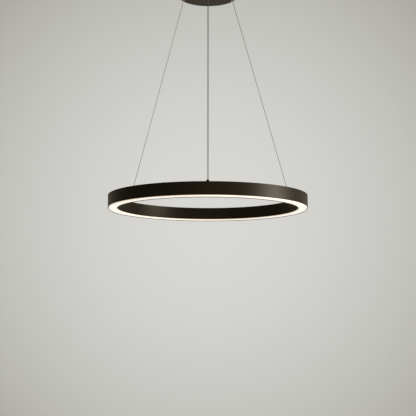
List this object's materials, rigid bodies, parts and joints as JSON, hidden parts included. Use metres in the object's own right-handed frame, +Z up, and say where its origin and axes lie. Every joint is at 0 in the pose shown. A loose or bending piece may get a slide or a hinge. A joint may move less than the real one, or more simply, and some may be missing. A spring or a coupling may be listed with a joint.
{
  "type": "led ring pendant light",
  "caption": "Round ceiling cup holding a slim lit ring on thin steel wires, with a cable beside the front wire and an opal light strip under the ring.",
  "frame": {"origin": "centre of the ceiling plate's top face, where it meets the ceiling", "axes": "+Z up into the ceiling, -Y towards the front, where the cable runs down beside a wire, +X to the right of the front view"},
  "size_m": [0.5999, 0.6, 0.7083],
  "materials": {
    "ring_black": "satin dark bronze-black powder coat on aluminium",
    "cup_black": "satin dark bronze-black powder coat on steel",
    "diffuser_opal": "satin opal acrylic, lit from behind",
    "fitting_black": "satin black moulded plastic",
    "wire_steel": "fine stranded steel wire, dull",
    "bright_steel": "zinc plated steel",
    "cable_sheath": "smooth dark cable sheath",
    "clear_clip": "clear moulded plastic",
    "tray_aluminium": "mill finish aluminium",
    "board_white": "white solder mask",
    "led_phosphor": "yellow phosphor window",
    "driver_white": "white moulded plastic",
    "board_green": "green circuit board",
    "component_dark": "dark wound and canned parts",
    "terminal_white": "natural nylon",
    "terminal_brass": "plain brass",
    "grommet_rubber": "black rubber",
    "lead_brown": "brown insulation",
    "lead_blue": "blue insulation",
    "lead_earth": "green and yellow insulation"
  },
  "bodies": {
    "canopy": {"ceiling_plate": "bright_steel", "supply_grommet": "grommet_rubber", "canopy_shell": "cup_black", "canopy_screws": "cup_black", "driver_case": "driver_white", "driver_lid": "driver_white", "driver_board": "board_green", "driver_components": "component_dark", "plate_screws": "bright_steel", "terminal_block": "terminal_white", "terminal_screws": "terminal_brass", "earth_lug": "bright_steel", "earth_screw": "terminal_brass", "live_lead": "lead_brown", "neutral_lead": "lead_blue", "earth_lead": "lead_earth", "canopy_lead": "cable_sheath", "cable_gland": "fitting_black", "gland_nut": "fitting_black", "gripper_body_front": "bright_steel", "gripper_body_left": "bright_steel", "gripper_body_right": "bright_steel", "gripper_spring_front": "wire_steel", "gripper_spring_left": "wire_steel", "gripper_spring_right": "wire_steel", "gripper_nuts": "bright_steel", "wire_tails": "wire_steel", "suspension_wire_front": "wire_steel", "suspension_wire_left": "wire_steel", "suspension_wire_right": "wire_steel", "power_cable": "cable_sheath", "cable_clip": "clear_clip"},
    "ring": {"ring_channel": "ring_black", "diffuser": "diffuser_opal", "board_tray": "tray_aluminium", "tray_standoffs": "tray_aluminium", "tray_screws": "bright_steel", "led_board_1": "board_white", "led_board_2": "board_white", "led_board_3": "board_white", "led_board_4": "board_white", "led_chips": "led_phosphor", "board_screws": "bright_steel", "board_links": "terminal_white", "feed_connector": "terminal_white", "front_bush": "fitting_black", "bush_nut": "bright_steel", "wire_anchor_left": "ring_black", "wire_anchor_right": "ring_black", "anchor_nuts": "bright_steel", "wire_ends": "wire_steel", "wire_stops": "bright_steel", "feed_lead": "cable_sheath"},
    "plunger_front": {"gripper_plunger_front": "bright_steel", "gripper_balls_front": "bright_steel"},
    "plunger_left": {"gripper_plunger_left": "bright_steel", "gripper_balls_left": "bright_steel"},
    "plunger_right": {"gripper_plunger_right": "bright_steel", "gripper_balls_right": "bright_steel"}
  },
  "joints": [
    {"name": "height_slide", "type": "slide", "parent": "canopy", "child": "ring", "axis": [0, 0, 1], "range_m": [0, 0.3], "deforming": ["suspension_wire_front", "suspension_wire_left", "suspension_wire_right", "power_cable", "cable_clip"]},
    {"name": "release_front", "type": "slide", "parent": "canopy", "child": "plunger_front", "axis": [0, 0, 1], "range_m": [0, 0.002], "stiffness_N_per_m": 300, "springref_m": -0.003, "deforming": ["gripper_spring_front"]},
    {"name": "release_left", "type": "slide", "parent": "canopy", "child": "plunger_left", "axis": [0, 0, 1], "range_m": [0, 0.002], "stiffness_N_per_m": 300, "springref_m": -0.003, "deforming": ["gripper_spring_left"]},
    {"name": "release_right", "type": "slide", "parent": "canopy", "child": "plunger_right", "axis": [0, 0, 1], "range_m": [0, 0.002], "stiffness_N_per_m": 300, "springref_m": -0.003, "deforming": ["gripper_spring_right"]}
  ]
}
